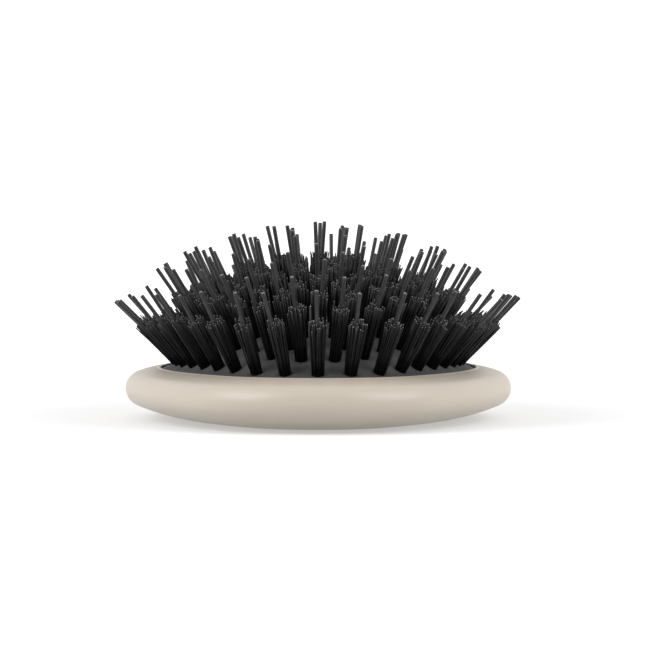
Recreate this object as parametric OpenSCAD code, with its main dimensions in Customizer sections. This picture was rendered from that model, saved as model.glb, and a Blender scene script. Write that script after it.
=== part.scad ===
// Oval cushion hair brush: a rounded head with a handle, a domed rubber cushion
// and rows of bristle tufts, each tuft with one longer pin.
// Two rings of tufts follow the edge, and rows across fill the middle.
// Origin: the flat back, under the middle of the head. +Z is the way the bristles
// point, +Y runs along the handle.

/* [Head] */
// Width of the head
head_w = 76; // [74:1:78]
// Length of the head, without the handle
head_l = 120; // [116:1:124]
// Radius of the head's rounded ends, seen from above
end_r = 28; // [27:0.5:29]
// Height of the widest line above the back
edge_h = 5.9; // [5.6:0.1:6.4]
// Height of the rim's crown above the widest line
crown_h = 4.1; // [3.9:0.1:4.5]
// Width of the rim outside the cushion
rim_w = 7; // [6.6:0.1:7.4]
// Thickness of the back
floor_t = 2.6; // [2:0.1:3]

/* [Handle] */
// Length of the handle beyond the head
handle_l = 112; // [95:1:125]
// Radius of the handle at its widest
grip_r = 8.6; // [8:0.1:9.5]
// Radius of the long curve along the handle
grip_curve_r = 470; // [400:10:700]

/* [Cushion] */
// Height of the dome above the rim
dome_h = 11.6; // [10.5:0.1:12]
// Width of the flat band round the dome
band_w = 1.8; // [1.5:0.1:2]
// Thickness of the rubber
cushion_t = 1.2; // [1:0.1:1.4]
// Gap between the cushion and the head
gap = 0.2; // [0.15:0.05:0.25]
// Radius of the hole that lets air out of the cushion
vent_r = 0.8; // [0.6:0.1:1]

/* [Tufts] */
// Distance between tufts along a ring or a row
tuft_pitch = 6.2; // [6:0.1:6.6]
// Distance between the two rings
ring_pitch = 5.6; // [5.4:0.1:5.7]
// Distance between the rows inside the rings
row_pitch = 5.4; // [5.2:0.1:5.6]
// Distance from the cushion's edge to the outer ring
ring_inset = 3.2; // [3:0.1:3.4]
// Radius of a tuft at its root
tuft_r = 1.22; // [1:0.02:1.24]
// Radius of a tuft at its tips
tuft_tip_r = 1.65; // [1.3:0.05:1.75]
// Length of the bristles above the cushion
tuft_l = 10.7; // [9:0.1:12]
// Radius of the long pin in each tuft
pin_r = 0.39; // [0.3:0.01:0.42]
// Length of the long pin above the cushion
pin_l = 17; // [14:0.1:18]
// Angle by which a pin leans out from its tuft
pin_lean = 2; // [0:0.5:4]

/* [Hidden] */
$fn = 96;

// The head's plan is an oval of four arcs: two ends and two sides.
half_w = head_w / 2;
half_l = head_l / 2;
end_c = half_l - end_r;
side_r = (half_w ^ 2 + half_l ^ 2 - 2 * half_l * end_r) / (2 * (half_w - end_r));
side_c = side_r - half_w;
blend = atan2(end_c, side_c);

// The head's section: two such arcs below the widest line and two above it. The
// lower ones stop just short of level, where the flat back takes over.
back_w = 16;
back_r = 3.3;
top_w = 7.8;
top_r = 3.3;
short = 0.5;
rim_z = edge_h + crown_h;

// The recess in the head, as insets from the head's edge and heights.
lip_t = 0.9;
groove_w = 5.4;
shelf_z = 5.7;
well_w = 10.6;
ring_out = rim_w + gap + 1.5;
ring_in = 10;
ring_h = 0.9;

// The dome is part of a torus lying across the head, with these two radii. It rises
// from a flat band that ends just inside the dome's edge.
pad_a = half_w - rim_w - band_w;
pad_b = half_l - rim_w - band_w;
dome_ra = (pad_a ^ 2 + dome_h ^ 2) / (2 * dome_h);
dome_rb = (pad_b ^ 2 + dome_h ^ 2) / (2 * dome_h);
dome_axis_z = rim_z + dome_h - dome_rb;
skirt_t = 1.4;
band_z = rim_z - 0.1;
flange_z = rim_z - 1.3;

// Roots of the tufts under the cushion.
root_gap = 0.3;
root_z = -(cushion_t + root_gap);
anchor_r = 1.5;
anchor_t = 0.9;
hole_r = tuft_r + 0.18;
pin_play = 0.04;
pin_root = root_z + 0.05;

// The rows start this far from the head's edge, and are grouped in zones this wide.
rows_in = 20.2;
row_clear = 1;
zone_w = 4.4;

// The handle lies on the same plane as the back: its side is one long arc, and a
// neck runs to it from the head's rim.
handle_z = grip_r;
grip_y = half_l + 0.6 * handle_l;
neck_w = 22;
neck_in = 4.5;
neck_y = half_l + 15;
neck_z = 3.2;
neck_t = 5;
neck_step = 0.3;
cap_y = half_l + handle_l - 7;
function handle_r(y) = grip_r - grip_curve_r + sqrt(grip_curve_r ^ 2 - (y - grip_y) ^ 2);

// Half the width of a four-arc oval's long side centre, from its half sizes.
function flat_r(a, b, r) = (a ^ 2 + b ^ 2 - 2 * b * r) / (2 * (a - r));

// An oval with half-width a along X, half-length b along Y and end radius r.
module arc_oval(a, b, r) {
    big = flat_r(a, b, r);
    turn = atan2(b - r, big - a);
    flat_half = b - r + r * sin(turn);
    intersection() {
        translate([a - big, 0]) circle(big);
        translate([big - a, 0]) circle(big);
        square([3 * a, 2 * flat_half], center = true);
    }
    for (s = [-1, 1])
        translate([0, s * (b - r)])
        circle(r);
}

// The head's plan, drawn in from its edge.
module plan(inset) {
    arc_oval(half_w - inset, half_l - inset, end_r - inset);
}

module slab(inset, z0, z1) {
    translate([0, 0, z0])
    linear_extrude(z1 - z0)
    plan(inset);
}

// Turns a 2-D section round one arc of the head's plan: its x is the inset from the
// head's edge, its y is the height. Corners bound the part of the turn that is kept.
module arc_sweep(centre, r, corners) {
    intersection() {
        translate(centre)
        rotate_extrude()
        translate([r, 0])
        mirror([1, 0])
        children();

        linear_extrude(2 * rim_z)
        polygon(corners);
    }
}

// Sweeps the section all round the head. The arcs meet on the lines that join their
// centres, so both cuts there share the same corner.
module round_head() {
    corner = [side_c, 2 * end_c];
    for (s = [0, 180])
        rotate([0, 0, s]) {
            arc_sweep([0, end_c], end_r, [[0, end_c], corner, [-corner[0], corner[1]]])
            children();

            arc_sweep([-side_c, 0], side_r, [[-side_c, 0], [corner[0], -corner[1]], corner])
            children();
        }
}

function arc_points(centre, r, from, to, n) =
    [for (i = [0:n]) let (t = from + (to - from) * i / n) centre + r * [cos(t), sin(t)]];

// The rim's section: the back, the round edge, the crown, then the lip, the groove
// for the cushion, the shelf and the well inside it.
module rim_section() {
    back_big = flat_r(edge_h, back_w, back_r);
    top_big = flat_r(crown_h, top_w, top_r);
    back_turn = atan2(back_big - edge_h, back_w - back_r);
    top_turn = atan2(top_big - crown_h, top_w - top_r);
    back_end = 270 - asin(short / back_big);
    lip = 90 + asin((top_w - rim_w) / top_big);
    polygon(concat(
        arc_points([back_w, back_big], back_big, back_end, 184 + back_turn, 5),
        arc_points([back_r, edge_h], back_r, 180 + back_turn, 180, 8),
        arc_points([top_r, edge_h], top_r, 174, 180 - top_turn, 7),
        arc_points([top_w, rim_z - top_big], top_big, 176 - top_turn, lip, 4),
        [
            [rim_w, rim_z - lip_t],
            [groove_w, rim_z - lip_t],
            [groove_w, shelf_z],
            [well_w, shelf_z],
            [well_w, floor_t],
            [back_w - short, floor_t]
        ]
    ));
}

// Half of the handle's outline: x is its radius, y runs along it.
module handle_section() {
    intersection() {
        translate([grip_r - grip_curve_r, grip_y]) circle(grip_curve_r, $fn = 720);
        translate([0, neck_y]) square([2 * grip_r, cap_y - neck_y]);
    }
    intersection() {
        translate([0, cap_y]) circle(handle_r(cap_y));
        translate([0, cap_y - 1]) square(2 * grip_r);
    }
}

module handle() {
    translate([0, 0, handle_z])
    rotate([-90, 0, 0])
    rotate_extrude()
    handle_section();

    hull() {
        translate([-neck_w / 2, half_l - neck_in, neck_z])
        cube([neck_w, 1, neck_t]);

        translate([0, neck_y, handle_z])
        rotate([-90, 0, 0])
        cylinder(r = handle_r(neck_y) - neck_step, h = 2, $fn = 32);
    }
}

module body() {
    color("#CCC2B4") {
        round_head() rim_section();
        slab(back_w - 1, 0, floor_t);
        handle();
    }
}

module retaining_ring() {
    color("#2A2A2A")
    round_head()
    translate([ring_out, shelf_z])
    square([ring_in - ring_out, ring_h]);
}

// Half of the dome's section across the head, as a shell of the rubber.
module dome_section() {
    reach = pad_a + 1;
    translate([dome_rb - dome_ra, 0])
    difference() {
        circle(dome_ra, $fn = 360);
        circle(dome_ra - cushion_t, $fn = 360);
        translate([-2 * dome_ra, -2 * dome_ra]) square([2 * dome_ra, 4 * dome_ra]);
        translate([0, reach]) square(2 * dome_ra);
        translate([0, -reach - 2 * dome_ra]) square(2 * dome_ra);
    }
}

module dome_shell() {
    turn = asin(pad_b / dome_rb) + 2;
    translate([0, 0, dome_axis_z])
    rotate([0, 90, 0])
    rotate([0, 0, 180 - turn])
    rotate_extrude(angle = 2 * turn, $fn = 720)
    dome_section();
}

// The rubber's edge: the flat band, the skirt below it and the flange in the groove.
module skirt_section() {
    edge = rim_w + gap;
    polygon([
        [groove_w + gap, shelf_z],
        [groove_w + gap, flange_z],
        [edge, flange_z],
        [edge, band_z],
        [edge + band_w - 0.1, band_z],
        [edge + band_w - 0.1, flange_z],
        [edge + skirt_t, flange_z],
        [edge + skirt_t, shelf_z]
    ]);
}

module cushion() {
    color("#3E3E40")
    difference() {
        union() {
            intersection() {
                dome_shell();
                slab(rim_w + gap, rim_z - 3, rim_z + 2 * dome_h);
            }
            round_head() skirt_section();
        }
        for (k = [1:6])
            at_tufts(k)
            translate([0, 0, -2 * cushion_t])
            cylinder(r = hole_r, h = 3.5 * cushion_t, $fn = 24);
        on_dome(0, pad_b - ring_inset - ring_pitch)
        translate([0, 0, -2 * cushion_t])
        cylinder(r = vent_r, h = 3.5 * cushion_t, $fn = 24);
    }
}

// Places its children on the dome at x, y with +Z along the dome's normal.
module on_dome(x, y) {
    across = dome_rb - dome_ra + sqrt(dome_ra ^ 2 - x ^ 2);
    along = asin(y / across);
    translate([x, y, dome_axis_z + across * cos(along)])
    rotate([-along, 0, 0])
    rotate([0, asin(x / dome_ra), 0])
    children();
}

// A ring of tufts is the head's plan drawn in by this much.
function ring_d(k) = rim_w + ring_inset + (k - 1) * ring_pitch;
function end_len(d) = (end_r - d) * (90 - blend) * PI / 180;
function quarter(d) = end_len(d) + (side_r - d) * blend * PI / 180;

// A point on a quarter of a ring at a length s from its tip: x, y and the outward angle.
function on_end(r, turn) = [r * sin(turn), -end_c - r * cos(turn), turn - 90];
function on_side(r, turn) = [r * cos(turn) - side_c, -r * sin(turn), -turn];
function on_quarter(d, s) =
    s < end_len(d)
    ? on_end(end_r - d, s / (end_r - d) * 180 / PI)
    : on_side(side_r - d, blend - (s - end_len(d)) / (side_r - d) * 180 / PI);

function flip_y(p) = [p[0], -p[1], -p[2]];
function flip_x(p) = [-p[0], p[1], 180 - p[2]];

// A point at a length s round the whole ring, from the tip away from the handle.
function on_ring(d, s) =
    let (q = quarter(d), i = floor(s / q), m = s - i * q)
    i == 0 ? on_quarter(d, m)
    : i == 1 ? flip_y(on_quarter(d, q - m))
    : i == 2 ? flip_x(flip_y(on_quarter(d, m)))
    : flip_x(on_quarter(d, q - m));

// The tufts of a ring, an even number so that both ends look alike. The second ring
// is shifted by half a step.
function ring_points(k) =
    let (d = ring_d(k), n = 2 * round(2 * quarter(d) / tuft_pitch))
    [for (i = [0 : n - 1]) on_ring(d, (i + (k == 1 ? 0 : 0.5)) * 4 * quarter(d) / n)];

// How far a point lies inside the head's edge.
function inset_at(x, y) =
    abs(y) > end_c + abs(x) * end_c / side_c
    ? end_r - norm([x, abs(y) - end_c])
    : side_r - norm([abs(x) + side_c, y]);

// Half the width of the area inside the rings at y, and the tufts of a row across it:
// x runs evenly from one side to the other.
function row_half(y) =
    abs(y) > end_c + (end_r - rows_in) * sin(blend)
    ? sqrt((end_r - rows_in) ^ 2 - (abs(y) - end_c) ^ 2)
    : sqrt((side_r - rows_in) ^ 2 - y ^ 2) - side_c;
function row_points(y) =
    let (w = row_half(y), n = max(1, round(2 * w / tuft_pitch)))
    [for (i = [0:n]) [w * (2 * i / n - 1), y, i < n / 2 ? 180 : 0]];

// Rows to each side of the middle one; the last stays clear of the ring round it.
rows = floor((half_l - rows_in - row_clear) / row_pitch);

// The tufts of one zone of the rows, numbered on from the rings.
function zone(d) = min(6, max(3, 3 + floor((d - rows_in) / zone_w)));
function zone_points(k) =
    [for (j = [-rows:rows], p = row_points(j * row_pitch))
        if (zone(inset_at(p[0], p[1])) == k) p];

module at_tufts(k) {
    for (p = k < 3 ? ring_points(k) : zone_points(k))
        on_dome(p[0], p[1])
        rotate([0, 0, p[2]])
        children();
}

// The long pin of a tuft, or its slot with some play added to its radius.
module pin(play, h) {
    translate([0, 0, pin_root])
    rotate([0, pin_lean, 0])
    translate([0, 0, -play])
    cylinder(r = pin_r + play, h = h - pin_root + play, $fn = 24);
}

module tufts(k) {
    color("#181818")
    at_tufts(k)
    difference() {
        translate([0, 0, root_z])
        cylinder(r1 = tuft_r, r2 = tuft_tip_r, h = tuft_l - root_z, $fn = 24);

        pin(pin_play, pin_l);
    }
}

module pins(k) {
    color("#222222")
    at_tufts(k)
    pin(0, pin_l);
}

module anchors(k) {
    color("#303030")
    at_tufts(k)
    translate([0, 0, root_z - anchor_t])
    cylinder(r = anchor_r, h = anchor_t, $fn = 24);
}

body();
retaining_ring();
cushion();
tufts(1);  // tufts_1
tufts(2);  // tufts_2
tufts(3);  // tufts_3
tufts(4);  // tufts_4
tufts(5);  // tufts_5
tufts(6);  // tufts_6
pins(1);  // pins_1
pins(2);  // pins_2
pins(3);  // pins_3
pins(4);  // pins_4
pins(5);  // pins_5
pins(6);  // pins_6
anchors(1);  // anchors_1
anchors(2);  // anchors_2
anchors(3);  // anchors_3
anchors(4);  // anchors_4
anchors(5);  // anchors_5
anchors(6);  // anchors_6
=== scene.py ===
"""Looks for the oval cushion brush: a satin rounded head and handle, a rubber dome,
tufts of separate bristles and one longer pin in each tuft. Sizes are in millimetres
until piece() turns them into metres."""
import math

import bpy
import numpy as np
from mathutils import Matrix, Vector


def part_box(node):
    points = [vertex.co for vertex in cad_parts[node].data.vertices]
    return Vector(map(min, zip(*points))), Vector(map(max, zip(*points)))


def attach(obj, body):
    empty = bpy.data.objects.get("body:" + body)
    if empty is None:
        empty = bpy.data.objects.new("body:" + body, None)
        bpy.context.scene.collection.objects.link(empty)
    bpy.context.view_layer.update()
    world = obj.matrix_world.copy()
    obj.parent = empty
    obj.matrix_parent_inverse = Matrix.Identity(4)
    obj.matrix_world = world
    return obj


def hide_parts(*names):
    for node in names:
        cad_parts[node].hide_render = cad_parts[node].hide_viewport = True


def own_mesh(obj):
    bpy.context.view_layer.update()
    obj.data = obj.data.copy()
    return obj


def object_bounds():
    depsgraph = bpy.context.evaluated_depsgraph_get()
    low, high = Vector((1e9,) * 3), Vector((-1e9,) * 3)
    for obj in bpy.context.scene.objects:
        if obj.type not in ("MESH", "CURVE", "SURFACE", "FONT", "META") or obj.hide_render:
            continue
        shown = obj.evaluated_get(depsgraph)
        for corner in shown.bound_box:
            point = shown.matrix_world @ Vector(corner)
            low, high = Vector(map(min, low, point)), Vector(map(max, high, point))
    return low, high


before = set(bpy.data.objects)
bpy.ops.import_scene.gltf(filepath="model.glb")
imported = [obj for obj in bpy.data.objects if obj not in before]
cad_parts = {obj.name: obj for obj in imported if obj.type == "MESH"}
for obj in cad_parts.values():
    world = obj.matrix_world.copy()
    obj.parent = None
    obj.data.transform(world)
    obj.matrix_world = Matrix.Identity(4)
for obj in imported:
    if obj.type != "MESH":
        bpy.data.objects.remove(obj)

CAD_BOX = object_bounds()
MM = 0.001
LOW, HIGH = (np.array(c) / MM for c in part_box("body"))

# The head's plan and section, as in the part.
HALF_W, HALF_L, END_R = HIGH[0], -LOW[1], 28.0
EDGE_H, CROWN_H, RIM_W, FLOOR_T = 5.9, 4.1, 7.0, 2.6
RIM_Z = EDGE_H + CROWN_H
BACK_W, BACK_R, TOP_W, TOP_R, SHORT = 16.0, 3.3, 7.8, 3.3, 0.5
LIP_T, GROOVE_W, SHELF_Z, WELL_W, GAP = 0.9, 5.4, 5.7, 10.6, 0.2
LIP_W, LIP_H = 0.55, 0.10
END_C = HALF_L - END_R
SIDE_R = (HALF_W**2 + HALF_L**2 - 2 * HALF_L * END_R) / (2 * (HALF_W - END_R))
SIDE_C = SIDE_R - HALF_W
BLEND = math.atan2(END_C, SIDE_C)

# The dome is a patch of a torus lying across the head.
DOME_H, RUBBER_T, SKIRT_T, BAND_W = 11.6, 1.2, 1.4, 1.8
BAND_Z, FLANGE_Z = RIM_Z - 0.1, RIM_Z - 1.3
PAD_A, PAD_B = HALF_W - RIM_W - BAND_W, HALF_L - RIM_W - BAND_W
DOME_RA = (PAD_A**2 + DOME_H**2) / (2 * DOME_H)
DOME_RB = (PAD_B**2 + DOME_H**2) / (2 * DOME_H)
DOME_AXIS_Z = RIM_Z + DOME_H - DOME_RB

# At its edge the rubber rises in a slope and a curve, and eases into the dome.
EDGE_SLOPE, EDGE_CURVE, EDGE_EASE, BAND_EASE = 0.3, 0.06, 0.8, 0.9
EDGE_DROP, EDGE_DEPTH, SKIRT_DROP = 0.12, 0.5, 0.45

# Each tuft sits in a dimple with a low swell round it: height, radius, width.
DIMPLE, DIMPLE_W = 0.34, 1.25
SWELL, SWELL_R, SWELL_W = 0.16, 2.0, 0.7

# Tufts and pins. The rows come in numbered zones that follow on from the two rings.
TUFT_PITCH, RING_PITCH, ROW_PITCH, RING_INSET = 6.2, 5.6, 5.4, 3.2
ROWS_IN, ROW_CLEAR, ZONE_W = 20.2, 1.0, 4.4
TUFT_R, TUFT_TIP_R, TUFT_L = 1.22, 1.65, 10.7
PIN_R, PIN_L, PIN_LEAN = 0.39, 17.0, 2.0
BODIES = ["ring_1", "ring_2", "rows_3", "rows_4", "rows_5", "middle_rows"]
FIRST_ZONE, LAST_ZONE = 3, len(BODIES)
HAIR_R, HAIRS, HAIR_SIDES, PIN_SIDES = 0.125, 38, 6, 14
HAIR_DEPTH, PIN_DEPTH, PIN_BEVEL = 0.7, 1.0, 0.08

# How much tufts, bristles and pins differ: tilts in degrees, the rest in millimetres.
SEED = 400
TUFT_TILT, PIN_TILT = 1.7, 2.0
TIP_SCALE, TIP_STRAY, TIP_FLARE = (0.9, 1.12), 0.12, 0.05
HAIR_STRAY, HAIR_BOW, HAIR_CURL, TUFT_CROWN = 0.45, 0.10, 0.28, 0.05
PIN_STRAY, PIN_BOW = 0.16, 0.07

# The handle's revolve.
GRIP_R, GRIP_CURVE_R, HANDLE_L = 8.6, 470.0, 112.0
HANDLE_Z, GRIP_Y = GRIP_R, HALF_L + 0.6 * HANDLE_L
NECK_Y, CAP_Y = HALF_L + 15, HALF_L + HANDLE_L - 7

# The neck starts as wide and as thick as the rim, and ends as the handle's revolve.
# Its join with the head starts sharp and a hair inside, and widens as it goes.
ROOT_Y, FLARE_L, FLARE_W = HALF_L - 5.5, 30.0, 10.2
ROOT_HALF_H, ROOT_Z, ROOT_RUN = 3.7, 5.3, 2
HIDE, JOIN_MIN, JOIN_W, JOIN_L = 0.03, 0.05, 5, 9


# ---------------------------------------------------------------- meshes
def piece(name, verts, faces, body, materials, face_material=None, flat_from=None):
    """A mesh piece from millimetre points, riding on a body. Faces from flat_from on
    are shaded flat."""
    mesh = bpy.data.meshes.new(name)
    mesh.from_pydata((np.asarray(verts, float) * MM).tolist(), [], faces)
    for material in materials:
        mesh.materials.append(material)
    smooth = np.ones(len(mesh.polygons), bool)
    if flat_from is not None:
        smooth[flat_from:] = False
    mesh.polygons.foreach_set("use_smooth", smooth)
    if face_material is not None:
        mesh.polygons.foreach_set("material_index", np.asarray(face_material, np.int32))
    mesh.update()
    obj = bpy.data.objects.new(name, mesh)
    bpy.context.scene.collection.objects.link(obj)
    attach(obj, body)
    return obj


def ring_quads(rows, cols, closed_rows=False):
    """Quads between rows of a grid whose columns run round in a closed loop."""
    faces = []
    for i in range(rows if closed_rows else rows - 1):
        a, b = i * cols, (i + 1) % rows * cols
        for j in range(cols):
            k = (j + 1) % cols
            faces.append((a + j, a + k, b + k, b + j))
    return faces


def plan_stations(side_n, end_n):
    """Centre, radius and direction of points all round the head's plan."""
    arcs = [
        ((-SIDE_C, 0), SIDE_R, -BLEND, BLEND, side_n),
        ((0, END_C), END_R, BLEND, math.pi - BLEND, end_n),
        ((SIDE_C, 0), SIDE_R, math.pi - BLEND, math.pi + BLEND, side_n),
        ((0, -END_C), END_R, math.pi + BLEND, 2 * math.pi - BLEND, end_n),
    ]
    out = []
    for centre, r, start, end, n in arcs:
        for i in range(n):
            turn = start + (end - start) * i / n
            out.append((centre[0], centre[1], r, math.cos(turn), math.sin(turn)))
    return np.array(out)


def plan_points(stations, inset):
    """The head's plan, drawn in by inset."""
    r = stations[:, 2] - inset
    return stations[:, :2] + r[:, None] * stations[:, 3:5]


def sweep(section, stations):
    """Grid of points: one row for each point of the section (inset, height)."""
    rows = []
    for inset, z in section:
        rows.append(np.column_stack([plan_points(stations, inset), np.full(len(stations), z)]))
    return np.concatenate(rows)


# ---------------------------------------------------------------- head and handle
def arc(centre, r, start, end, n):
    """Points on an arc between two angles in degrees."""
    turns = np.radians(np.linspace(start, end, n + 1))
    return [(centre[0] + r * math.cos(t), centre[1] + r * math.sin(t)) for t in turns]


def big_radius(a, b, r):
    """Radius of the flatter arc of an oval with half sizes a and b and end radius r."""
    return (a * a + b * b - 2 * b * r) / (2 * (a - r))


def outer_section():
    """The back's round edge and the rim's crown, up to the start of the lip."""
    back = big_radius(EDGE_H, BACK_W, BACK_R)
    top = big_radius(CROWN_H, TOP_W, TOP_R)
    back_turn = math.degrees(math.atan2(back - EDGE_H, BACK_W - BACK_R))
    top_turn = math.degrees(math.atan2(top - CROWN_H, TOP_W - TOP_R))
    back_end = 270 - math.degrees(math.asin(SHORT / back))
    lip = 90 + math.degrees(math.asin((TOP_W - RIM_W + LIP_W) / top))
    return (
        arc((BACK_W, back), back, back_end, 181 + back_turn, 16)
        + arc((BACK_R, EDGE_H), BACK_R, 180 + back_turn, 180, 10)
        + arc((TOP_R, EDGE_H), TOP_R, 176, 180 - top_turn, 10)
        + arc((TOP_W, RIM_Z - top), top, 178 - top_turn, lip, 10)
    )


def head_section():
    """The whole section: outside, a fine raised lip, groove, shelf, well and floor."""
    outside = outer_section()
    edge, z = outside[-1]
    return outside + [
        (edge + 0.05, z + 0.08),
        (edge + 0.13, z + LIP_H * 0.8),
        (edge + 0.24, z + LIP_H),
        (edge + 0.40, z + LIP_H),
        (RIM_W - 0.10, z + LIP_H * 0.85),
        (RIM_W - 0.02, z + LIP_H * 0.4),
        (RIM_W, z - 0.05),
        (RIM_W, RIM_Z - LIP_T + 0.05),
        (RIM_W - 0.05, RIM_Z - LIP_T),
        (GROOVE_W, RIM_Z - LIP_T),
        (GROOVE_W, SHELF_Z),
        (WELL_W, SHELF_Z),
        (WELL_W, FLOOR_T),
        (BACK_W - SHORT, FLOOR_T),
    ]


def make_head(material):
    """The head as one closed sweep of its section round the plan."""
    stations = plan_stations(120, 84)
    section = head_section()
    verts = sweep(section, stations)
    n = len(stations)
    faces = ring_quads(len(section), n)
    first, last = list(range(n)), list(range((len(section) - 1) * n, len(section) * n))
    faces += [first[::-1], last]
    faces = [f[::-1] for f in faces]
    flat = len(faces) - 2
    return piece("head_shell", verts, faces, "brush", [material], flat_from=flat)


def inset_at(x, y):
    """How far a point is inside the head's plan edge."""
    x, y = np.abs(x), np.abs(y)
    in_end = y > END_C + x * math.tan(BLEND)
    end = END_R - np.hypot(x, y - END_C)
    side = SIDE_R - np.hypot(x + SIDE_C, y)
    return np.where(in_end, end, side)


def head_distance(x, y, z, outline):
    """Signed distance to the head's outside, from its section."""
    p = np.stack([inset_at(x, y), z], -1)
    level = 1e-9
    best = np.full(p.shape[:-1], np.inf)
    inside = np.zeros(p.shape[:-1], bool)
    a, b = outline, np.roll(outline, -1, 0)
    for (ax, ay), (bx, by) in zip(a, b):
        ex, ey = bx - ax, by - ay
        dx, dy = p[..., 0] - ax, p[..., 1] - ay
        t = np.clip((dx * ex + dy * ey) / (ex * ex + ey * ey), 0, 1)
        best = np.minimum(best, np.hypot(dx - t * ex, dy - t * ey))
        crosses = (ay > p[..., 1]) != (by > p[..., 1])
        if abs(by - ay) > level:
            inside ^= crosses & (dx < ex * dy / ey)
    return np.where(inside, -best, best)


def handle_radius(y):
    """The grip's outline, one long arc."""
    return GRIP_R - GRIP_CURVE_R + np.sqrt(GRIP_CURVE_R**2 - (y - GRIP_Y) ** 2)


def ease(t):
    """0 before 0, 1 after 1, and a smooth rise between."""
    t = np.clip(t, 0, 1)
    return t * t * (3 - 2 * t)


def neck_course(y):
    """How far the neck has turned into the handle at y, and its middle's height."""
    share = ease((y - ROOT_Y - ROOT_RUN) / FLARE_L)
    return share, ROOT_Z + (HANDLE_Z - ROOT_Z) * share


def neck_distance(x, y, z):
    """Rough signed distance to the neck, an ellipse across that narrows along Y."""
    share, centre = neck_course(y)
    r = handle_radius(np.maximum(y, NECK_Y))
    wide = r + FLARE_W * np.clip(1 - (y - ROOT_Y) / FLARE_L, 0, 1) ** 3
    high = ROOT_HALF_H + (r - ROOT_HALF_H) * share
    ratio = np.hypot(x / wide, (z - centre) / high)
    return (ratio - 1) * np.minimum(wide, high)


def joined_distance(x, y, z, outline):
    """Head and neck as one smooth surface, a hair inside the head where they coincide."""
    a = head_distance(x, y, z, outline) + HIDE
    b = neck_distance(x, y, z)
    return soft_min(a, b, JOIN_MIN + JOIN_W * ease((y - ROOT_Y) / JOIN_L))


def soft_min(a, b, k):
    """The smaller of a and b, rounded where they differ by less than k."""
    h = np.maximum(k - np.abs(a - b), 0) / k
    return np.minimum(a, b) - h * h * k / 4


def make_handle(material):
    """Sections of the joined surface, one for each step along the handle."""
    around, near_n, far_n, cap_n = 128, 110, 90, 18
    fine_end, reach, halvings, depth = NECK_Y + 12, 34.0, 26, 20
    turns = np.arange(around) * 2 * math.pi / around
    near = np.linspace(ROOT_Y, fine_end, near_n)
    far = np.linspace(fine_end, CAP_Y, far_n)[1:]
    cap_r = float(handle_radius(CAP_Y))
    cap_turns = np.linspace(0, math.pi / 2, cap_n)[1:-1]
    outline = np.array(outer_section() + [(depth, RIM_Z), (depth, 0)])

    def section(r, y, centre):
        return np.column_stack([r * np.cos(turns), np.full(around, y), centre + r * np.sin(turns)])

    rows = []
    for y in np.concatenate([near, far]):
        centre = neck_course(y)[1]
        low, high = np.zeros(around), np.full(around, reach)
        for _ in range(halvings):
            mid = (low + high) / 2
            x, z = mid * np.cos(turns), centre + mid * np.sin(turns)
            out = joined_distance(x, y, z, outline) > 0
            high = np.where(out, mid, high)
            low = np.where(out, low, mid)
        rows.append(section(low, y, centre))
    for t in cap_turns:
        rows.append(section(cap_r * math.cos(t), CAP_Y + cap_r * math.sin(t), HANDLE_Z))
    verts = np.concatenate(rows + [[[0, CAP_Y + cap_r, HANDLE_Z]]])
    faces = [f[::-1] for f in ring_quads(len(rows), around)]
    tip, last = len(verts) - 1, (len(rows) - 1) * around
    faces += [(tip, last + (j + 1) % around, last + j) for j in range(around)]
    faces.append(list(range(around)))
    faces = [list(f)[::-1] for f in faces]
    flat = len(faces) - 1
    return piece("handle_shell", verts, faces, "brush", [material], flat_from=flat)


# ---------------------------------------------------------------- cushion
def dome_z(x, y):
    """Height of the torus."""
    across = DOME_RB - DOME_RA + np.sqrt(DOME_RA**2 - x * x)
    return DOME_AXIS_Z + np.sqrt(across**2 - y * y)


def dome_height(x, y):
    """The rubber's height: the torus patch, eased into the flat band at its edge."""
    t = np.maximum(inset_at(x, y) - RIM_W - GAP, 0)
    edge = BAND_Z + EDGE_SLOPE * t + EDGE_CURVE * t * t
    body = -soft_min(-dome_z(x, y), -BAND_Z, BAND_EASE)
    return soft_min(body, edge, EDGE_EASE)


def dome_frame(x, y, turn):
    """Origin and axes on the dome: the third axis is the normal, the first points out."""
    across = DOME_RB - DOME_RA + math.sqrt(DOME_RA**2 - x * x)
    along = math.asin(y / across)
    roll = math.asin(x / DOME_RA)
    rx = rotation(0, -along)
    ry = rotation(1, roll)
    rz = rotation(2, math.radians(turn))
    origin = np.array([x, y, float(dome_height(np.array(x), np.array(y)))])
    return origin, rx @ ry @ rz


def rotation(axis, a):
    """Turn by a radians about X, Y or Z."""
    c, s = math.cos(a), math.sin(a)
    return np.array(
        [
            [[1, 0, 0], [0, c, -s], [0, s, c]],
            [[c, 0, s], [0, 1, 0], [-s, 0, c]],
            [[c, -s, 0], [s, c, 0], [0, 0, 1]],
        ][axis]
    )


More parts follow.
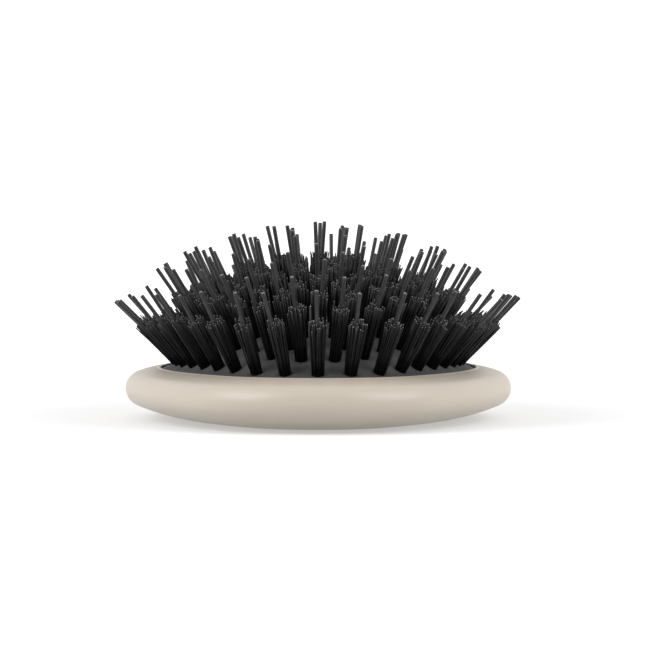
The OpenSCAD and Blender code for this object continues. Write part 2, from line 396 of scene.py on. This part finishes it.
def make_dome(material, roots):
    """The rubber dome as a closed shell, dimpled where each tuft goes through it."""
    edge = plan_points(plan_stations(150, 100), RIM_W + GAP)
    n = len(edge)
    shares = np.linspace(0, 1, 92)[1:]
    outer = np.concatenate([edge * s for s in shares])
    z = dome_height(outer[:, 0], outer[:, 1])
    for x, y in roots:
        r = np.hypot(outer[:, 0] - x, outer[:, 1] - y)
        swell = SWELL * np.exp(-(((r - SWELL_R) / SWELL_W) ** 2))
        z += swell - DIMPLE * np.exp(-((r / DIMPLE_W) ** 2))
    rim_z = np.full(n, BAND_Z - EDGE_DEPTH)
    z[-n:] -= EDGE_DROP
    inner_shares = shares[::-1][2::3]
    inner = np.concatenate([edge * s for s in inner_shares])
    inner_z = dome_height(inner[:, 0], inner[:, 1]) - RUBBER_T
    grid = np.concatenate(
        [
            np.column_stack([outer, z]),
            np.column_stack([edge, rim_z]),
            np.column_stack([inner, inner_z]),
        ]
    )
    rows = len(grid) // n
    top, bottom = len(grid), len(grid) + 1
    centre = float(dome_z(np.array(0.0), np.array(0.0)))
    verts = np.concatenate([grid, [[0, 0, centre]], [[0, 0, centre - RUBBER_T]]])
    faces = [f[::-1] for f in ring_quads(rows, n)]
    last = (rows - 1) * n
    faces += [(top, j, (j + 1) % n) for j in range(n)]
    faces += [(bottom, last + (j + 1) % n, last + j) for j in range(n)]
    return piece("cushion_dome", verts, faces, "brush", [material])


def make_skirt(material):
    """The part of the rubber that stays in the head: a skirt and its flange."""
    inner, flange = RIM_W + GAP, GROOVE_W + GAP
    top, low, bevel = BAND_Z - SKIRT_DROP, SHELF_Z + 0.02, 0.1
    section = [
        (inner, FLANGE_Z + bevel),
        (inner, top - bevel),
        (inner + bevel, top),
        (inner + SKIRT_T - bevel, top),
        (inner + SKIRT_T, top - bevel),
        (inner + SKIRT_T, low),
        (flange, low),
        (flange, FLANGE_Z - bevel),
        (flange + bevel, FLANGE_Z),
        (inner - bevel, FLANGE_Z),
    ]
    stations = plan_stations(90, 60)
    faces = [f[::-1] for f in ring_quads(len(section), len(stations), closed_rows=True)]
    verts = sweep(section, stations)
    return piece("cushion_skirt", verts, faces, "brush", [material])


# ---------------------------------------------------------------- tufts
def on_quarter(d, s, end_len):
    """A point on a quarter of the plan drawn in by d, at a length s from its tip."""
    if s < end_len:
        t, r = s / (END_R - d), END_R - d
        return r * math.sin(t), -END_C - r * math.cos(t), math.degrees(t) - 90
    r = SIDE_R - d
    t = BLEND - (s - end_len) / r
    return r * math.cos(t) - SIDE_C, -r * math.sin(t), -math.degrees(t)


def ring_points(k):
    """x, y and the outward angle of each tuft of ring k, counted from the edge."""
    d = RIM_W + RING_INSET + (k - 1) * RING_PITCH
    end_len = (END_R - d) * (math.pi / 2 - BLEND)
    quarter = end_len + (SIDE_R - d) * BLEND
    n = 2 * round(2 * quarter / TUFT_PITCH)
    out = []
    for i in range(n):
        s = (i + (0 if k == 1 else 0.5)) * 4 * quarter / n
        q = int(s // quarter)
        m = s - q * quarter
        x, y, a = on_quarter(d, m if q % 2 == 0 else quarter - m, end_len)
        if q in (1, 2):
            y, a = -y, -a
        if q in (2, 3):
            x, a = -x, 180 - a
        out.append((x, y, a))
    return out


def row_half(y):
    """Half the width of the area inside the rings at y."""
    if abs(y) > END_C + (END_R - ROWS_IN) * math.sin(BLEND):
        return math.sqrt((END_R - ROWS_IN) ** 2 - (abs(y) - END_C) ** 2)
    return math.sqrt((SIDE_R - ROWS_IN) ** 2 - y * y) - SIDE_C


def zone_points(k):
    """The tufts of one zone of the rows across, numbered on from the rings."""
    out = []
    rows = int((HALF_L - ROWS_IN - ROW_CLEAR) / ROW_PITCH)
    for j in range(-rows, rows + 1):
        y = j * ROW_PITCH
        half = row_half(y)
        n = max(1, round(2 * half / TUFT_PITCH))
        for i in range(n + 1):
            x = half * (2 * i / n - 1)
            zone = FIRST_ZONE + math.floor((float(inset_at(x, y)) - ROWS_IN) / ZONE_W)
            if min(LAST_ZONE, max(FIRST_ZONE, zone)) == k:
                out.append((x, y, 180.0 if 2 * i < n else 0.0))
    return out


def rod(path, radii, sides, start):
    """A tube along a path with flat ends: its points, side faces and end faces. No rod
    lies along slant, from which its sides start."""
    slant = [0.31, 0.87, 0.38]
    path = np.asarray(path, float)
    along = path[-1] - path[0]
    along /= np.linalg.norm(along)
    side = np.cross(along, slant)
    side /= np.linalg.norm(side)
    other = np.cross(along, side)
    turns = np.arange(sides) * 2 * math.pi / sides
    loop = np.cos(turns)[:, None] * side + np.sin(turns)[:, None] * other
    verts = np.concatenate([p + r * loop for p, r in zip(path, radii)])
    faces = []
    for i in range(len(path) - 1):
        for j in range(sides):
            k = (j + 1) % sides
            a, b = start + i * sides, start + (i + 1) * sides
            faces.append((a + j, a + k, b + k, b + j))
    last = start + (len(path) - 1) * sides
    ends = [tuple(last + j for j in range(sides)), tuple(start + j for j in range(sides))[::-1]]
    return verts, faces, ends


def make_rods(name, rods, sides, body, materials):
    """One mesh of many rods. The cut ends take the second material, which paints a highlight on
    them.
    """
    verts, faces, ends, count = [], [], [], 0
    for path, radii in rods:
        v, f, e = rod(path, radii, sides, count)
        verts.append(v)
        faces += f
        ends += e
        count += len(v)
    index = [0] * len(faces) + [1, 0] * (len(ends) // 2)
    return piece(
        name, np.concatenate(verts), faces + ends, body, materials, index, flat_from=len(faces)
    )


def tuft_rods(origin, axes, rng):
    """The separate bristles of one tuft: close at the root, fanned out at the tip."""
    golden = math.pi * (3 - math.sqrt(5))
    phase = rng.uniform(0, 2 * math.pi)
    rods = []
    for i in range(HAIRS):
        share = math.sqrt((i + 0.5) / HAIRS)
        turn = phase + i * golden
        root = np.array([math.cos(turn), math.sin(turn)]) * share * (TUFT_R - HAIR_R)
        tip_r = share * (TUFT_TIP_R + TIP_FLARE) * rng.uniform(*TIP_SCALE)
        tip = np.array([math.cos(turn), math.sin(turn)]) * tip_r + rng.normal(0, TIP_STRAY, 2)
        length = TUFT_L * (1 - TUFT_CROWN * share**2) + rng.normal(0, HAIR_STRAY)
        bow = rng.normal(0, HAIR_BOW, 2)
        path = []
        for t in (0.0, 0.35, 0.7, 1.0):
            out = (1 - HAIR_CURL) * t + HAIR_CURL * t * t
            xy = root + (tip - root) * out + bow * math.sin(math.pi * t)
            z = (length + HAIR_DEPTH) * t - HAIR_DEPTH
            path.append(origin + axes @ np.array([xy[0], xy[1], z]))
        rods.append((path, [HAIR_R] * len(path)))
    return rods


def random_tilt(rng, spread):
    """A small random turn about the two axes across a tuft, with its spread in degrees."""
    out, side = (math.radians(rng.normal(0, spread)) for _ in range(2))
    return rotation(1, out) @ rotation(0, side)


def pin_rod(origin, axes, rng):
    """The long pin of a tuft: a thicker rod with a flat cut and softened edge."""
    lean = rotation(1, math.radians(PIN_LEAN + rng.normal(0, PIN_TILT)))
    sway = rotation(0, math.radians(rng.normal(0, PIN_TILT)))
    length = PIN_L + rng.normal(0, PIN_STRAY)
    bow = rng.normal(0, PIN_BOW)
    heights = [-PIN_DEPTH, 4.0, 9.0, length - 0.5, length - 0.07, length]
    radii = [PIN_R] * 5 + [PIN_R - PIN_BEVEL]
    path = []
    for h in heights:
        local = lean @ sway @ np.array([bow * (h / length) ** 2, 0, h])
        path.append(origin + axes @ local)
    return path, radii


def make_tufts(bristle, pin):
    """All the bristles and pins, a piece of each for every body. Returns where the
    tufts stand."""
    roots = []
    for k, body in enumerate(BODIES, 1):
        rng = np.random.default_rng(SEED + k)
        hairs, pins = [], []
        for x, y, turn in ring_points(k) if k < FIRST_ZONE else zone_points(k):
            roots.append((x, y))
            origin, axes = dome_frame(x, y, turn)
            axes = axes @ random_tilt(rng, TUFT_TILT)
            hairs += tuft_rods(origin, axes, rng)
            pins.append(pin_rod(origin, axes, rng))
        obj = make_rods(f"bristles_{k}", hairs, HAIR_SIDES, body, bristle)
        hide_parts(f"tufts_{k}")
        obj = make_rods(f"long_pins_{k}", pins, PIN_SIDES, body, pin)
        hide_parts(f"pins_{k}")
    return roots


# ---------------------------------------------------------------- materials
def surface(name, colour, vary, patch, rough, grain, bump, specular=0.5, coat=0.0):
    """A procedural finish: slow patches of colour, fine grain in roughness and bump.
    patch and grain are the sizes of their marks in millimetres."""
    material = bpy.data.materials.new(name)
    material.use_nodes = True
    nodes, links = material.node_tree.nodes, material.node_tree.links
    shader = nodes["Principled BSDF"]
    shader.inputs["Specular IOR Level"].default_value = specular
    shader.inputs["Coat Weight"].default_value = coat
    shader.inputs["Coat Roughness"].default_value = 0.35
    place = nodes.new("ShaderNodeTexCoord")

    def noise(size, detail):
        node = nodes.new("ShaderNodeTexNoise")
        node.inputs["Scale"].default_value = 1 / (size * MM)
        node.inputs["Detail"].default_value = detail
        links.new(place.outputs["Object"], node.inputs["Vector"])
        return node

    slow, fine = noise(patch, 4.0), noise(grain, 3.0)
    ramp = nodes.new("ShaderNodeValToRGB")
    ramp.color_ramp.elements[0].position = 0.3
    ramp.color_ramp.elements[1].position = 0.7
    for element, share in zip(ramp.color_ramp.elements, (1 - vary, 1 + vary)):
        element.color = [min(1.0, c * share) for c in colour] + [1]
    links.new(slow.outputs["Fac"], ramp.inputs["Fac"])
    links.new(ramp.outputs["Color"], shader.inputs["Base Color"])
    spread = nodes.new("ShaderNodeMapRange")
    spread.inputs["To Min"].default_value = rough[0]
    spread.inputs["To Max"].default_value = rough[1]
    links.new(fine.outputs["Fac"], spread.inputs["Value"])
    links.new(spread.outputs["Result"], shader.inputs["Roughness"])
    relief = nodes.new("ShaderNodeBump")
    relief.inputs["Strength"].default_value = bump
    relief.inputs["Distance"].default_value = 0.02 * MM
    links.new(fine.outputs["Fac"], relief.inputs["Height"])
    links.new(relief.outputs["Normal"], shader.inputs["Normal"])
    return material


def give(node, material):
    """Puts a material on a CAD node that is shown as it is."""
    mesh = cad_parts[node].data
    mesh.materials.clear()
    mesh.materials.append(material)


# ---------------------------------------------------------------- stage
def make_stage():
    """A white floor under the brush that glows more with distance from its middle, so that it
    stays white as far as it can be seen.
    Its weaker glow near the middle is a painted shadow round the brush, which also leaves the
    rim's underside darker."""
    half, drop = 6.0, 0.0002
    z = CAD_BOX[0][2] - drop
    corners = [(-half, -half, z), (half, -half, z), (half, half, z), (-half, half, z)]
    mesh = bpy.data.meshes.new("floor")
    mesh.from_pydata(corners, [], [(0, 1, 2, 3)])
    floor = bpy.data.objects.new("floor", mesh)
    bpy.context.scene.collection.objects.link(floor)
    material = bpy.data.materials.new("floor_glow_painted_shadow")
    material.use_nodes = True
    shader = material.node_tree.nodes["Principled BSDF"]
    shader.inputs["Base Color"].default_value = (0.5, 0.5, 0.5, 1)
    shader.inputs["Roughness"].default_value = 0.9
    shader.inputs["Emission Color"].default_value = (1, 1, 1, 1)
    nodes, links = material.node_tree.nodes, material.node_tree.links
    place = nodes.new("ShaderNodeTexCoord")
    far = nodes.new("ShaderNodeVectorMath")
    far.operation = "LENGTH"
    # Less glow near the middle than far off: a painted shadow round the brush.
    glow = nodes.new("ShaderNodeMapRange")
    glow.interpolation_type = "SMOOTHSTEP"
    glow.inputs["From Min"].default_value = 0.06
    glow.inputs["From Max"].default_value = 0.55
    glow.inputs["To Min"].default_value = 0.38
    glow.inputs["To Max"].default_value = 0.90
    links.new(place.outputs["Object"], far.inputs[0])
    links.new(far.outputs["Value"], glow.inputs["Value"])
    links.new(glow.outputs["Result"], shader.inputs["Emission Strength"])
    mesh.materials.append(material)


def area_light(name, place, target, size, power):
    """A soft square light of this size and power that faces the target."""
    data = bpy.data.lights.new(name, "AREA")
    data.shape = "RECTANGLE"
    data.size, data.size_y = size, size
    data.energy = power
    light = bpy.data.objects.new(name, data)
    light.location = place
    light.rotation_euler = (Vector(target) - Vector(place)).to_track_quat("-Z", "Y").to_euler()
    bpy.context.scene.collection.objects.link(light)


def make_light():
    """A studio that is white behind the brush and dims towards the camera, with a
    large light to each side."""
    side, front, height, size, target = 0.70, -0.38, 0.42, 0.62, (0, 0, 0.02)
    world = bpy.data.worlds.new("studio")
    bpy.context.scene.world = world
    world.use_nodes = True
    nodes, links = world.node_tree.nodes, world.node_tree.links
    background = nodes["Background"]
    background.inputs["Color"].default_value = (1, 1, 1, 1)
    place = nodes.new("ShaderNodeTexCoord")
    split = nodes.new("ShaderNodeSeparateXYZ")
    spread = nodes.new("ShaderNodeMapRange")
    spread.interpolation_type = "SMOOTHSTEP"
    spread.inputs["From Min"].default_value = -0.8
    spread.inputs["From Max"].default_value = 0.35
    spread.inputs["To Min"].default_value = 0.34
    spread.inputs["To Max"].default_value = 1.02
    links.new(place.outputs["Generated"], split.inputs["Vector"])
    links.new(split.outputs["Y"], spread.inputs["Value"])
    links.new(spread.outputs["Result"], background.inputs["Strength"])
    area_light("left", (-side, front, height), target, size, 6.6)
    area_light("right", (side, front, height), target, size, 5.6)


def make_camera():
    """The view is along the head from its tip, a little above it."""
    elevation, distance, lens, sensor = math.radians(1.8), 0.8, 226, 36
    aim = Vector((0.00083, 0, (RIM_Z + 8.65) * MM))
    data = bpy.data.cameras.new("camera")
    data.sensor_width, data.lens = sensor, lens
    camera = bpy.data.objects.new("camera", data)
    camera.location = aim + distance * Vector((0, -math.cos(elevation), math.sin(elevation)))
    camera.rotation_euler = (math.radians(90) - elevation, 0, 0)
    bpy.context.scene.collection.objects.link(camera)
    bpy.context.scene.camera = camera
    bpy.context.scene.view_settings.view_transform = "Standard"


# ---------------------------------------------------------------- the object
shell = surface(
    "satin_shell", (0.43, 0.38, 0.317), vary=0.018, patch=30, rough=(0.38, 0.50),
    grain=0.35, bump=0.25, specular=0.45, coat=0.15,
)
rubber = surface(
    "rubber", (0.047, 0.047, 0.049), vary=0.10, patch=6, rough=(0.50, 0.68),
    grain=0.30, bump=0.6, specular=0.4,
)
ring_finish = surface(
    "ring_plastic", (0.022, 0.022, 0.022), vary=0.10, patch=8, rough=(0.45, 0.6),
    grain=0.3, bump=0.4,
)
anchor_finish = surface(
    "anchor_plastic", (0.030, 0.030, 0.031), vary=0.12, patch=2, rough=(0.4, 0.55),
    grain=0.2, bump=0.4,
)
# The bristles' cut ends are the same nylon in a far lighter colour: a painted highlight where the
# flat tips catch the light. Their rougher finish is real.
bristle = [
    surface(
        "bristle", (0.0060, 0.0060, 0.0064), vary=0.35, patch=1.2, rough=(0.34, 0.50),
        grain=0.15, bump=0.2, specular=0.22,
    ),
    surface(
        "bristle_cut_painted_highlight", (0.20, 0.20, 0.205), vary=0.4, patch=0.5, rough=(0.4, 0.6),
        grain=0.1, bump=0.3,
    ),
]
# The pins' cut ends are the same nylon in a much lighter colour: a painted highlight on the flat
# tips. Their rougher finish is real.
pin = [
    surface(
        "pin", (0.017, 0.017, 0.0175), vary=0.25, patch=1.5, rough=(0.32, 0.46),
        grain=0.2, bump=0.2, specular=0.35,
    ),
    surface(
        "pin_cut_painted_highlight", (0.13, 0.13, 0.133), vary=0.3, patch=0.5, rough=(0.35, 0.5),
        grain=0.1, bump=0.3,
    ),
]

head = make_head(shell)
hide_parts("body")
make_handle(shell)
roots = make_tufts(bristle, pin)
dome = make_dome(rubber, roots)
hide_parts("cushion")
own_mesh(dome)
make_skirt(rubber)
give("retaining_ring", ring_finish)
for k in range(1, len(BODIES) + 1):
    give(f"anchors_{k}", anchor_finish)

make_stage()
make_light()
make_camera()
